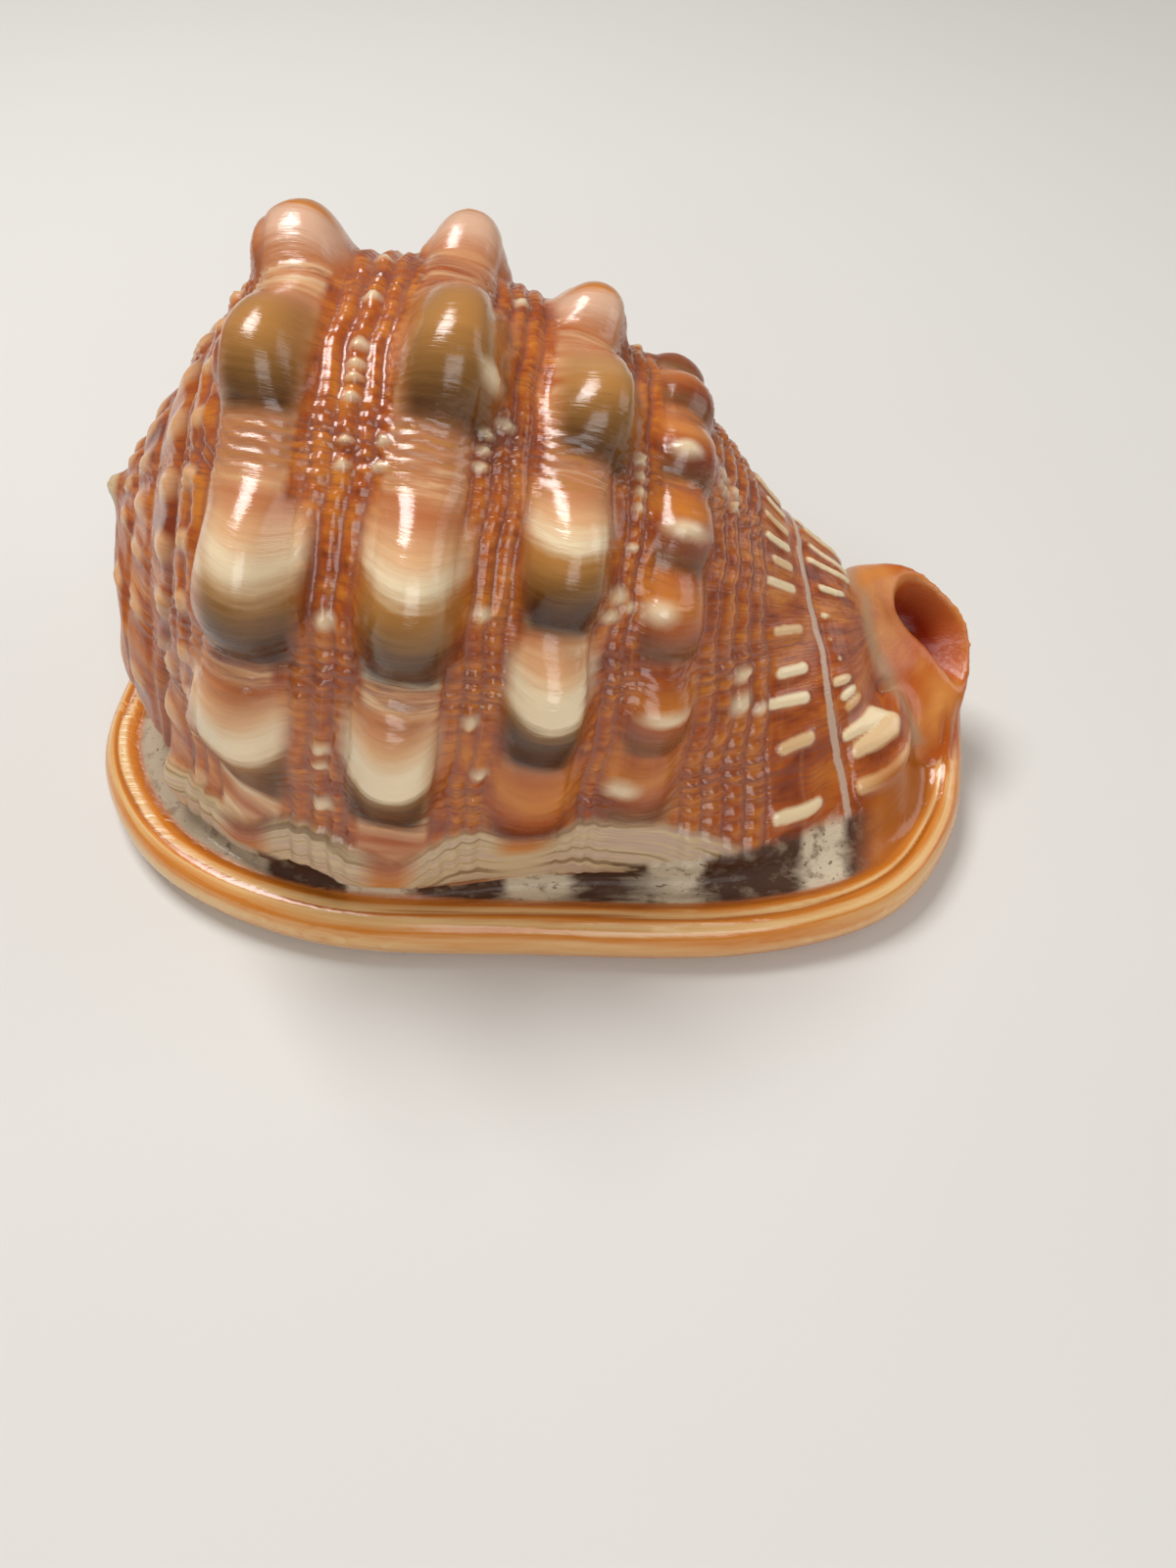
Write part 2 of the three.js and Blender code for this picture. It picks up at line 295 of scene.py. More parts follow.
def footRings():
    outline = curveThrough(foot["outline"], foot["steps"], closed=True)
    middle = curveThrough(foot["middle"], foot["middleSteps"])
    share = np.clip((outline[:, 0] - middle[0, 0]) / (middle[-1, 0] - middle[0, 0]), 0.02, 0.98)
    steps = np.linspace(0, 1, foot["middleSteps"])
    target = np.stack([np.interp(share, steps, middle[:, i]) for i in (0, 1)], 1)
    inward = target - outline
    room = np.linalg.norm(inward, axis=1)
    rings = []
    for inset, height in curveThrough(foot["section"], foot["sectionSteps"]):
        reach = np.minimum(inset, room * 0.97)
        flat = outline + inward * (reach / room)[:, None]
        z = height * np.where(inset > reach, reach / max(inset, 1e-3), 1)
        rise = foot["canalRise"] * bump(flat[:, 1] + 4, 12) * ease(52, 66, flat[:, 0])
        rise *= ease(18, 9, inset)
        rings.append(np.column_stack([flat, np.maximum(z * (1 + rise), 0)]))
    return rings


# The siphonal canal flares from its neck on the body to its mouth. Both rings start at the upper left
# and go round the back; the near edge of the mouth is chipped.
canal = {
    "mouth": [
        (60.6, 3.6, 28.8), (61.4, 7.6, 30.4), (64.6, 10.2, 30.8), (68.2, 9.8, 29.6), (71.4, 8.2, 27.9),
        (74.2, 6.2, 26.2), (76.3, 3.5, 24.3), (77.0, -0.4, 22.0), (76.4, -5.2, 19.7), (74.4, -10.2, 17.6),
        (72.0, -8.0, 19.4), (69.7, -5.6, 21.3), (67.4, -3.4, 23.0), (65.4, -1.8, 24.3), (63.2, -0.4, 25.7),
        (61.6, 1.2, 27.2),
    ],
    "neck": [
        (52, 3, 32), (53, 8, 31), (54, 12.5, 28), (57, 14, 26), (62, 13, 20), (66, 11, 15), (69, 8, 11),
        (71.5, 3, 8.5), (72.5, -4, 8), (71.5, -12, 9), (68.5, -18, 11), (64.5, -15.5, 13.5),
        (61.5, -11, 17), (59, -7, 22), (56.5, -3, 27.5), (54, 0, 32),
    ],
    "root": (51, -3, 17),
    "bore": [  # (centre, way out, share of the mouth)
        ((70.4, -0.5, 27.5), (0.22, -0.45, 0.87), 0.84), ((69.6, 1.1, 24.3), (0.22, -0.45, 0.87), 0.81),
        ((67.8, 3.0, 21.2), (0.3, -0.3, 0.85), 0.6), ((64.8, 3.6, 18.2), (0.7, 0, 0.7), 0.42),
        ((57, -3.5, 14.5), (0.85, 0.5, 0.2), 0.36), ((49, -12, 12.5), (0.85, 0.5, 0.1), 0.36),
    ],
    "chips": [(10.3, 0.9), (11.4, 0.5), (12.6, 0.7), (9.2, 0.6), (7.8, 0.4)],  # (place in the ring, depth)
    "segments": 96,
}


def canalRings():
    mouth = curveThrough(canal["mouth"], canal["segments"], closed=True)
    neck = curveThrough(canal["neck"], canal["segments"], closed=True)
    at = np.linspace(0, len(canal["mouth"]), canal["segments"], endpoint=False)
    for spot, deep in canal["chips"]:
        mouth[:, 2] -= deep * bump(at - spot, 0.22)
    root = np.array(canal["root"])
    rings = [lerp(root, neck, share) for share in (0.35, 0.7)]
    for t in np.linspace(0, 1, 12):
        # the wall runs hollow from neck to mouth, and turns out at the edge
        centre = lerp(neck.mean(0), mouth.mean(0), t)
        rings.append(centre + lerp(neck - neck.mean(0), mouth - mouth.mean(0), t**1.5))
    return rings


def toMouth(points):
    edge = curveThrough(canal["mouth"], canal["segments"], closed=True)
    near = np.linalg.norm(points - edge.mean(0), axis=1) < 40
    gap = np.full(len(points), 40.0)
    gap[near] = np.min(np.linalg.norm(points[near, None, :] - edge[None], axis=2), axis=1)
    return gap


def boreRings():
    mouth = curveThrough(canal["mouth"], canal["segments"], closed=True)
    around = mouth - mouth.mean(0)
    facing = Vector(canal["bore"][0][1])
    rings = []
    for centre, way, share in canal["bore"]:
        turn = np.array(facing.rotation_difference(Vector(way)).to_matrix())
        rings.append(np.array(centre) + share * around @ turn.T)
    steps = curveThrough([ring.ravel() for ring in rings], 30)
    return [step.reshape(-1, 3) for step in steps]


# What is open: the aperture slot, the last whorl's hollow above it, and the canal's bore.
openings = {
    "slotHalf": 5.0,
    "slotTall": 14.0,
    "slotHeight": 8.0,
    "hollowAt": (-10, -18, 29),
    "hollowHalf": (42, 19, 18),
}


def makeSlot():
    # the slot is lower under the canal end, so that it stays below the collar
    line = curveThrough([(x, y, openings["slotHeight"]) for x, y in foot["middle"]], 60)
    turn = np.linspace(0, 2 * math.pi, 32, endpoint=False)
    rings = []
    for spot in line[:-4]:
        share = 1 - 0.72 * ease(36, 50, spot[0])
        up = np.outer(np.sin(turn) * openings["slotTall"] * share, (0, 0, 1))
        across = np.outer(np.cos(turn) * openings["slotHalf"], (0, 1, 0))
        rings.append(spot - (0, 0, 8 * (1 - share)) + up + across)
    return loft(rings, "slot")


def makeHollow():
    bm = bmesh.new()
    bmesh.ops.create_icosphere(bm, subdivisions=4, radius=1)
    bmesh.ops.scale(bm, verts=bm.verts, vec=openings["hollowHalf"])
    bmesh.ops.translate(bm, verts=bm.verts, vec=openings["hollowAt"])
    return toObject(bm, "hollow")


def joinShell():
    parts = [makeBody(), loft(footRings(), "foot"), loft(canalRings(), "canal")]
    bm = bmesh.new()
    for part in parts:
        bm.from_mesh(part.data)
    for part in parts:
        bpy.data.objects.remove(part)
    whole = toObject(bm, "helmetShell")
    applyModifier(whole, "REMESH", mode="VOXEL", voxel_size=shell["voxel"])
    # the near side between the whorl and the mouth of the canal is one smooth sweep
    p = readPoints(whole.data)
    near = ease(46, 50, p[:, 0]) * ease(12, 15, p[:, 2]) * ease(3, -1, p[:, 1])
    near *= ease(0.5, 1.5, toMouth(p))
    for _ in range(6):
        smoothVerts(whole, 30, near, fill=True)
    for cutter in (loft(boreRings(), "bore"), makeSlot(), makeHollow()):
        applyModifier(whole, "BOOLEAN", object=cutter, operation="DIFFERENCE", solver="MANIFOLD")
        bpy.data.objects.remove(cutter)
    applyModifier(whole, "REMESH", mode="VOXEL", voxel_size=shell["voxel"])
    return whole


def readNormals(mesh):
    normals = np.empty(len(mesh.vertices) * 3, np.float32)
    mesh.vertices.foreach_get("normal", normals)
    return normals.reshape(-1, 3).astype(float)


def smoothVerts(obj, rounds, keep=None, fill=False):
    # keep is how far each vertex may follow its neighbours, from 0 to 1; fill moves them only outwards
    edges = np.empty(len(obj.data.edges) * 2, np.int32)
    obj.data.edges.foreach_get("vertices", edges)
    a, b = edges.reshape(-1, 2).T
    p, normals = readPoints(obj.data), readNormals(obj.data)
    keep = np.ones(len(p)) if keep is None else keep
    wanted = (keep[a] > 0) | (keep[b] > 0)
    used, spots = np.unique(np.concatenate([a[wanted], b[wanted]]), return_inverse=True)
    a, b = spots.reshape(2, -1)
    q, normals, keep = p[used], normals[used], 0.5 * keep[used][:, None]
    count = (np.bincount(a, minlength=len(q)) + np.bincount(b, minlength=len(q)))[:, None]
    for _ in range(rounds):
        around = [np.bincount(a, q[b, i], len(q)) + np.bincount(b, q[a, i], len(q)) for i in range(3)]
        move = np.stack(around, 1) / count - q
        if fill:
            move = normals * np.maximum((move * normals).sum(1), 0)[:, None]
        q += keep * move
    p[used] = q
    writePoints(obj.data, p)


# Fine sculpture on the whorl: cords between the rows as (place, height), growth stops, ribs at the canal
# end, and spire nodules as (place, degrees apart, half width, half length).
sculpture = {
    "cords": [(22.5, 0.3), (25.0, 0.3), (41.0, 0.55), (44.2, 0.7), (47.1, 0.6), (49.2, 0.45), (62.6, 0.5),
              (64.9, 0.6), (67.4, 0.6), (82.4, 0.4), (84.7, 0.6), (87.0, 0.4), (98.4, 0.55), (101.0, 0.6),
              (103.6, 0.6), (106.0, 0.5)],
    "cordHalf": 1.0,
    "beadPitch": 2.4,
    "stops": [(-12, 0.03), (14, 0.08), (54.5, 0.2), (92, 0.1), (131, 0.1), (168, 0.1)],  # (angle, lean)
    "ribRows": [  # from, to, half width of a rib, and each rib's angle and how pale it is
        (107.9, 112.9, 0.8, [(-19, 0.9), (-8, 0.5), (3, 1), (11, 1), (26, 0.5), (47, 0.9), (57, 0.6),
                             (66, 1), (77, 0.6), (89, 0.9), (101, 0.7), (114, 0.9), (128, 0.7)]),
        (117.4, 126.4, 0.62, [(-19, 0.4), (-14.5, 0.6), (-11, 0.9), (-5, 0.3), (-1.5, 1), (4, 0.7),
                              (12, 1), (21, 1), (34, 1), (52.5, 1), (69, 0.9), (82, 0.8), (101, 0.8),
                              (117, 0.9), (133, 0.8)]),
    ],
    "ribFrom": ([-25, 0, 25, 50, 75], [19, 17, 14, 10.5, 7]),  # least radius of a rib, by angle
    "ribHigh": 0.7,
    "line": 115.6,
    "suture": 19.8,
    "lastEdge": [(15, -47), (21, -41), (40, -26), (56, -24), (65, -18), (80, -15), (95, -17), (110, -24)],
    "nodules": [(18.2, 17, 2.6, 2.1), (11.0, 22, 2.0, 1.6), (6.6, 30, 1.4, 1.1), (23.4, 13, 1.8, 1.2)],
    "teethPitch": 4.6,
    "foldPitch": 4.1,
}

# Cream beads and spots, each with its place along, its angle, and its half length and half width in mm.
marks = [
    (44.2, 71.4, 1.3, 1.2), (44.2, 67.2, 1.3, 0.9), (44.2, 64.6, 1.2, 0.7), (44.2, 60.8, 1.2, 0.8),
    (44.4, 53.4, 1.0, 0.8), (44.4, 49.1, 1.1, 0.8), (44.4, 24.1, 1.5, 1.5), (44.6, -1.4, 1.5, 1.4),
    (44.6, -6, 1.2, 1.0), (44.8, -15.7, 1.7, 1.6), (49.4, 54, 1.0, 0.8), (49.4, 49.7, 1.1, 0.8),
    (62.2, 66, 1.6, 1.7), (64.9, 61.5, 1.4, 1.0), (62.6, 59, 1.0, 0.8), (62.4, 56, 1.0, 0.8),
    (62.2, 53, 1.0, 0.8), (65.0, 29, 1.3, 1.2), (65.2, 9, 1.2, 1.4), (67.4, -3, 1.3, 1.4),
    (84.7, 64, 1.0, 1.0), (84.9, 60.5, 0.9, 0.9), (85.0, 57, 0.9, 0.9), (84.9, 53.5, 0.9, 0.8),
    (84.6, 45, 0.9, 0.7), (83.2, 35, 1.5, 1.5), (82.6, 31, 1.5, 1.2), (85.3, 33, 0.9, 0.9),
    (98.6, 74, 1.3, 1.1), (98.7, 69, 1.2, 1.1), (101.0, 71, 1.2, 1.1), (101.0, 66, 1.2, 1.0),
    (103.4, 14, 1.2, 1.2), (103.4, 6, 1.5, 1.6), (106.2, 3, 0.9, 0.9),
    (91.2, 69, 2.4, 1.6), (92.0, 50.5, 3.4, 1.5), (89.6, 33, 2.6, 1.9), (92.6, 10.5, 3.6, 1.3),
    (88.6, -7.5, 2.6, 1.8), (44.2, 84, 1.4, 1.2), (64.9, 96, 1.4, 1.2), (44.2, 101, 1.4, 1.2),
    (44.2, 122, 1.4, 1.4), (64.9, 128, 1.4, 1.2), (84.7, 112, 1.2, 1.2), (84.7, 142, 1.2, 1.2),
]


def spiralBand(along, angle):
    # Lines of growth run out towards the canal where the whorl flares into the lip
    drift = np.interp(angle, [-45, -23, -14, 1.5, 25, 45, 65], [17, 13, 9, 5.7, 3.4, 1.4, 0])
    band = along.copy()
    for _ in range(4):
        band = along - drift * np.clip((band - 85) / 30, 0, 1) ** 1.5
    return band


def footPlace(points):
    outline = curveThrough(foot["outline"], 400, closed=True)
    run = np.r_[0, np.cumsum(np.linalg.norm(np.diff(outline, axis=0), axis=1))]
    inset, at = np.empty(len(points)), np.empty(len(points))
    for low in range(0, len(points), 20000):
        part = points[low:low + 20000, :2]
        gap = np.linalg.norm(part[:, None, :] - outline[None], axis=2)
        inset[low:low + 20000] = gap.min(1)
        at[low:low + 20000] = run[gap.argmin(1)]
    return inset, at


def gapTo(rings, points, where, furthest):
    # How far each wanted point lies from a lofted skin, no further than furthest
    part = loft(rings, "gauge")
    corners = [vert.co[:] for vert in part.data.vertices]
    tree = BVHTree.FromPolygons(corners, [face.vertices[:] for face in part.data.polygons])
    bpy.data.objects.remove(part)
    gap = np.full(len(points), furthest)
    for k in np.flatnonzero(where):
        found = tree.find_nearest(Vector(points[k]), furthest)
        gap[k] = furthest if found[3] is None else found[3]
    return gap


def surveyShell(points, normals):
    along, radius, angle = toCoil(points)
    flat = np.interp(along, *np.array(coil["section"], float).T)
    whorl = whorlRadius(along, flat, np.where(angle < coil["lipAt"], angle + 360, angle))
    inset, run = footPlace(points)
    x, y, z = points.T
    nearCanal = (x > 47) & (z > 7)
    toCollar = gapTo(canalRings(), points, nearCanal, 4.0)
    toBore = gapTo(boreRings(), points, nearCanal, 4.0)
    mouth = np.array(canal["mouth"])
    depth = -(points - mouth.mean(0)) @ np.array(canal["bore"][0][1])
    inBore = ease(1.3, 0.7, toBore) * ease(1.0, 1.6, toCollar + 0.25 * np.maximum(depth, 0))
    neck = curveThrough(canal["neck"], 96, closed=True)
    toNeck = np.min(np.linalg.norm(points[:, None, :] - neck[None], axis=2), axis=1)
    band = spiralBand(along, angle)
    onCanal = np.maximum(ease(1.6, 0.9, toCollar) * ease(0.3, 1.6, radius - whorl),
                         ease(126.6, 127.6, band) * ease(10, 13, z)) * nearCanal
    # on the near side the smooth collar reaches further from the mouth the lower it lies
    fromMouth = toMouth(points)
    collarWide = np.interp(y, [-14, 3], [10.5, 4.6])
    onCanal = np.maximum(onCanal, ease(0.5, -0.5, fromMouth - collarWide) * ease(9, 12, z))
    collarEdge = bump(fromMouth - collarWide - 0.3, 1.5) * ease(6, 0, y) * ease(12, 15, z)
    slotMiddle = np.interp(x, *np.array(foot["middle"], float).T)
    inHollow = np.linalg.norm((points - openings["hollowAt"]) / np.array(openings["hollowHalf"]), axis=1)
    inSlot = np.abs(y - slotMiddle) / (openings["slotHalf"] + 0.6)
    inSlot = (inSlot < 1) & (x > -56) & (x < 62) & (z < 18) & (z > 0.5) & (normals[:, 2] > -0.75)
    inside = (inHollow < 1.05) | inSlot
    canalEnd = ease(52, 60, x)
    channel = ease(6.4, 7.6, inset) * ease(14, 12.5, z) * (normals[:, 2] > 0.1) * (1 - canalEnd)
    rim = ease(7.6, 6.4, inset) * ease(12, 10, z) * (1 - canalEnd)
    rim += canalEnd * ease(23, 17, inset) * ease(19, 16, z)
    onNeck = np.maximum(ease(4.5, 1.5, toNeck) * ease(-2, 4, y), collarEdge) * (1 - inBore)
    onBody = ease(10, 12, z) * np.maximum(ease(9.5, 12, inset), ease(13, 15, z))
    onBody *= (1 - np.maximum(onCanal, inBore)) * ~inside
    return {
        "along": along, "radius": radius, "angle": angle, "band": band, "inset": inset, "run": run,
        "x": x, "y": y, "z": z, "slotMiddle": slotMiddle, "toMouth": fromMouth, "depth": depth,
        "canal": onCanal, "bore": inBore, "neck": onNeck, "body": onBody, "channel": channel,
        "rim": np.clip(rim, 0, 1), "under": ease(0.1, -0.4, normals[:, 2]) * ease(7, 4, z),
        "inside": inside.astype(float),
    }


def sculptShell(s):
    arc = np.radians(s["angle"]) * s["radius"]
    lift = np.zeros_like(arc)
    stop = np.zeros_like(arc)
    for at, lean in sculpture["stops"]:
        stop += bump(s["angle"] - at - lean * (s["band"] - 50), 5.5)
    stop = np.clip(stop, 0, 1)

    knob, trunk, neck = (np.zeros_like(arc) for _ in range(3))
    paint, side, tone = (np.zeros((2, len(arc))) for _ in range(3))
    nearest = np.full((2, len(arc)), 1e3)
    for row in knobRows:
        apart = np.abs(s["band"] - row["at"])
        onBand = ease(row["half"] - 0.4, row["half"] - 1.8, apart)
        trunk = np.maximum(trunk, onBand * (1 if row["at"] < 90 else 0.3))
        for k, (at, shift, size, shade) in enumerate(row["knobs"]):
            # neighbours in a row are painted in turn on two layers, so that one can fade over the next
            across = (s["band"] - row["at"] - shift) / size
            around = np.radians(s["angle"] - at) * s["radius"] / size
            knob = np.maximum(knob, knobShape(row, across, around))
            u = around / row["round"]
            here = ease(0.98, 0.55, np.hypot(across / row["along"], np.maximum(-u, 0) * 0.5))
            here *= ease(-1.02, -0.75, u) * ease(1.2, 0.7, u) * (1 if row["at"] < 90 else 0.7)
            u -= 0.35 * np.minimum(np.abs(across / row["along"]), 1.2) ** 2
            gap = np.hypot(across / row["along"], around / row["round"])
            closer = gap < nearest[k % 2]
            nearest[k % 2] = np.where(closer, gap, nearest[k % 2])
            side[k % 2] = np.where(closer, u, side[k % 2])
            tone[k % 2] = np.where(closer, shade, tone[k % 2])
            paint[k % 2] = np.maximum(paint[k % 2], here)
            if 1.8 < shade < 2.1 and row["at"] < 90:
                neck += onBand * ease(-2.2, -1.4, u) * ease(0, -0.5, u)

    bead, seam = np.zeros_like(arc), np.zeros_like(arc)
    wavy = 0.3 * np.sin(np.radians(s["angle"]) * 9) + 0.2 * np.sin(np.radians(s["angle"]) * 23 + 1)
    for at, high in sculpture["cords"]:
        off = s["band"] - at - wavy
        near = bump(off, sculpture["cordHalf"])
        pitch = sculpture["beadPitch"] * (1 + 0.15 * math.sin(at))
        beads = 0.5 + 0.5 * np.cos(2 * math.pi * arc / pitch + at * 1.7)
        lift += 1.2 * high * near * (1 - knob) * (0.6 + (beads - 0.5) * (0.3 + 0.6 * stop))
        bead = np.maximum(bead, near * beads**1.5)
        seam = np.maximum(seam, bump(np.abs(off) - 1.35, 0.35))
    seam *= (1 - knob) * (1 - trunk)
    lift -= 0.35 * seam
    ripple = 0.5 + 0.5 * np.cos(2 * math.pi * (arc + 0.4 * np.sin(s["band"] * 0.9)) / 2.0)
    lift -= 0.4 * stop * (1 - knob) * ripple * (s["band"] < 107)

    mark = np.zeros_like(arc)
    for at, angle, halfAlong, halfRound in marks:
        off = np.radians(s["angle"] - angle) * s["radius"]
        shape = ((s["band"] - at - 0.1 * off) / halfAlong) ** 2 + (off / halfRound) ** 2
        mark = np.maximum(mark, np.exp(-shape))
    lift += 0.7 * mark

    rib, paleRib = np.zeros_like(arc), np.zeros_like(arc)
    # the ribs stop short of the canal's neck, where the whorl closes in
    clear = ease(0, 2.5, s["radius"] - np.interp(s["angle"], *sculpture["ribFrom"]))
    for low, high, half, ribs in sculpture["ribRows"]:
        for k, (at, pale) in enumerate(ribs):
            early = 0.7 * math.sin(k * 2.3)
            window = ease(low - 0.5 + early, low + 0.7 + early, s["band"])
            window *= ease(high + 0.8, high - 0.6, s["band"])
            bent = s["angle"] - at - 0.9 * math.sin(k * 2.1) * (s["band"] - low) / 5
            here = window * clear * bump(np.radians(bent) * s["radius"], half)
            paleRib = np.where(here > rib, pale, paleRib)
            rib = np.maximum(rib, here)
    lift += sculpture["ribHigh"] * rib
    grey = bump(s["band"] - sculpture["line"] - 0.5 * wavy, 0.62) * ease(-34, -22, s["angle"])
    lift += 0.3 * grey - 0.3 * bump(s["band"] - sculpture["line"] - 1.4, 0.6)

    nodule = np.zeros_like(arc)
    for at, apart, halfRound, halfAlong in sculpture["nodules"]:
        turn = (s["angle"] + at * 7) / apart
        off = (turn - np.round(turn)) * math.radians(apart) * s["radius"]
        nodule = np.maximum(nodule, bump(s["along"] - at - 0.08 * off, halfAlong) * bump(off, halfRound))
    nodule *= s["radius"] > 5
    lift += 1.0 * nodule
    suture = s["along"] - np.interp(s["angle"], [-40, -16, 5, 22], [15.6, 16.8, 19, sculpture["suture"]])
    lift -= 1.1 * bump(suture, 0.7) + 0.5 * bump(s["along"] - 13.8, 0.5) + 0.4 * bump(s["along"] - 8.6, 0.4)
    lift *= s["body"]

    # the last edge of growth hangs over the channel in thin leaves, lower under each row of knobs
    sag = sum(bump(s["band"] - row["at"], 6.5) for row in knobRows[:3])
    last = np.interp(s["band"], *np.array(sculpture["lastEdge"]).T) - 3.0 * sag
    leaf = (s["angle"] - last) * 0.84 + 0.15 * np.sin(s["band"] * 0.8)
    top = np.interp(s["band"], [20, 50, 62, 76, 100], [4.0, 3.4, 1.8, 0.8, 0.4])
    flange = ease(0.4, -1.2, leaf - top) * ease(112, 100, s["band"]) * ease(15, 18, s["band"])
    flange *= ease(10, 12, s["z"]) * (s["angle"] < 10)
    flange *= (1 - np.maximum(s["canal"], s["bore"])) * (s["inside"] < 0.5)
    ledge = ease(-5.0, -4.2, leaf) * ease(70, 40, s["band"]) * ease(6.0, 0.0, leaf)
    lift += flange * (0.14 * np.abs(np.sin(math.pi * leaf / 1.7)) + 0.5) + 1.4 * flange * ledge

    groove = bump(s["inset"] - 2.4, 0.3) + bump(s["inset"] - 4.6, 0.3)
    lift -= 0.35 * groove * ease(-15, 20, s["x"]) * s["rim"] * (s["y"] < 10) * (s["z"] > 4)
    toSlot = s["y"] - s["slotMiddle"]
    ends = ease(-58, -50, s["x"]) * ease(64, 58, s["x"])
    lipTeeth = 0.5 + 0.5 * np.cos(2 * math.pi * s["x"] / sculpture["teethPitch"])
    lipTeeth *= ease(-17, -8, toSlot) * (toSlot < 0)
    folds = 0.5 + 0.5 * np.cos(2 * math.pi * (s["x"] + 0.25 * toSlot) / sculpture["foldPitch"])
    folds *= ease(24, 7, toSlot) * (toSlot > 0)
    teeth = (lipTeeth + folds) * ends * ease(8, 5, s["z"]) * (s["inset"] > 15)
    lift += 1.3 * teeth
    block = np.zeros_like(arc)
    for low, high in foot["blocks"]:
        block = np.maximum(block, ease(low - 0.5, low + 0.5, s["x"]) * ease(high + 0.5, high - 0.5, s["x"]))
    s.update(oddPaint=paint[0], oddSide=side[0], oddTone=tone[0], evenPaint=paint[1], evenSide=side[1],
             evenTone=tone[1], around=s["angle"] * 0.84 + 2.2 * knob, leaf=leaf, sag=sag, trunk=trunk,
             neckTan=np.clip(neck, 0, 1), bead=bead, seam=seam, rib=rib, paleRib=paleRib, grey=grey,
             nodule=nodule, stop=stop, mark=mark, flange=flange, teeth=teeth, block=block,
             suture=bump(suture, 0.9))
    return lift


# Facts about the surface, three to a map, which the finish reads from the mesh
surfaceMaps = {
    "coil": ("band", "around", "radius"),
    "foot": ("inset", "run", "z"),
    "oddKnobs": ("oddPaint", "oddSide", "oddTone"),
    "evenKnobs": ("evenPaint", "evenSide", "evenTone"),
    "lines": ("trunk", "bead", "stop"),
    "seams": ("seam", "neckTan", "mark"),
    "ribs": ("rib", "paleRib", "grey"),
    "edges": ("rim", "channel", "flange"),
    "inner": ("inside", "under", "teeth"),
    "ends": ("canal", "bore", "depth"),
    "turns": ("neck", "suture", "nodule"),
    "blocks": ("block", "leaf", "along"),
    "places": ("x", "y", "sag"),
}


def storeMaps(mesh, s):
    for name, parts in surfaceMaps.items():
        layer = mesh.attributes.new(name, "FLOAT_VECTOR", "POINT")
        facts = np.stack([s[part] for part in parts], 1)
        layer.data.foreach_set("vector", facts.astype(np.float32).ravel())


whole = joinShell()
print("joined", len(whole.data.polygons), "faces", flush=True)
smoothVerts(whole, 3)
points = readPoints(whole.data)
inset, _ = footPlace(points)
creases = ease(17, 11, points[:, 2]) * ease(5.5, 8, inset)
creases = np.maximum(creases, ease(46, 56, points[:, 0]) * ease(7, 10, points[:, 2]) * 0.5)
smoothVerts(whole, 8, creases)
survey = surveyShell(readPoints(whole.data), readNormals(whole.data))
smoothVerts(whole, 40, survey["canal"] * ease(2.0, 4.5, survey["toMouth"]) * (1 - survey["bore"]))
points, normals = readPoints(whole.data), readNormals(whole.data)
survey = surveyShell(points, normals)
print("surveyed", flush=True)
points += normals * sculptShell(survey)[:, None]
points[:, 2] = np.maximum(points[:, 2], 0)
writePoints(whole.data, points)
storeMaps(whole.data, survey)
print("sculpted", flush=True)

triangles = 2 * len(whole.data.polygons)
if triangles > shell["mostTriangles"]:
    applyModifier(whole, "DECIMATE", ratio=shell["mostTriangles"] / triangles)
place = cadBox[0] * 1000 - Vector(shell["lowCorner"])
whole.data.transform(Matrix.Translation(place))
whole.data.transform(Matrix.Scale(0.001, 4))
for face in whole.data.polygons:
    face.use_smooth = True
print("shell has", len(whole.data.polygons), "faces", flush=True)


def linear(hexColour):
    parts = [int(hexColour[i:i + 2], 16) / 255 for i in (1, 3, 5)]
    return tuple(c / 12.92 if c <= 0.04045 else ((c + 0.055) / 1.055) ** 2.4 for c in parts) + (1.0,)


def addNode(tree, kind, inputs=None, stops=None, **settings):
    made = tree.nodes.new(kind)
    for key, value in settings.items():
        setattr(made, key, value)
    for key, value in (inputs or {}).items():
        if isinstance(value, bpy.types.NodeSocket):
            tree.links.new(value, made.inputs[key])
        else:
            made.inputs[key].default_value = value
    for k, (at, colour) in enumerate(stops or []):
        spots = made.color_ramp.elements
        spot = spots[k] if k < 2 else spots.new(at)
        spot.position, spot.color = at, colour
    return made


# The shell's colours, as sRGB
finish = {
    "rust": "#7a2e0c", "orange": "#ad5216", "amber": "#cf7c28", "mauve": "#8c5040", "rose": "#c07c50",
    # the brown on the next line and the dark brown below it are painted shade on the lip side of the knobs
    "peach": "#dfac7c", "cream": "#f0dab4", "tan": "#b27b3e", "olive": "#855a28", "brown": "#54300f",
    "darkBrown": "#3c1a06", "pink": "#dcae90", "ribCream": "#f2dcb2", "ribAmber": "#d08a34",
    "greyLine": "#c4a48e", "rimRust": "#b0601a", "rimOrange": "#d27d26", "rimCream": "#e6bc80",
    # the darkest bore colour on this line is painted shade, for the deep bore and the insides of the
    # openings
    "chalk": "#d4c2a6", "chalkBrown": "#4a2810", "chalkGrey": "#8f7a62", "boreDeep": "#8a2204",
    "bore": "#c0602c", "canal": "#b8560f", "canalPale": "#d68a42", "neckGrey": "#b48c68",
    "shield": "#c2601f", "tooth": "#eed6ac", "leafGrey": "#9a7c58", "leafPale": "#d2b68c",
}

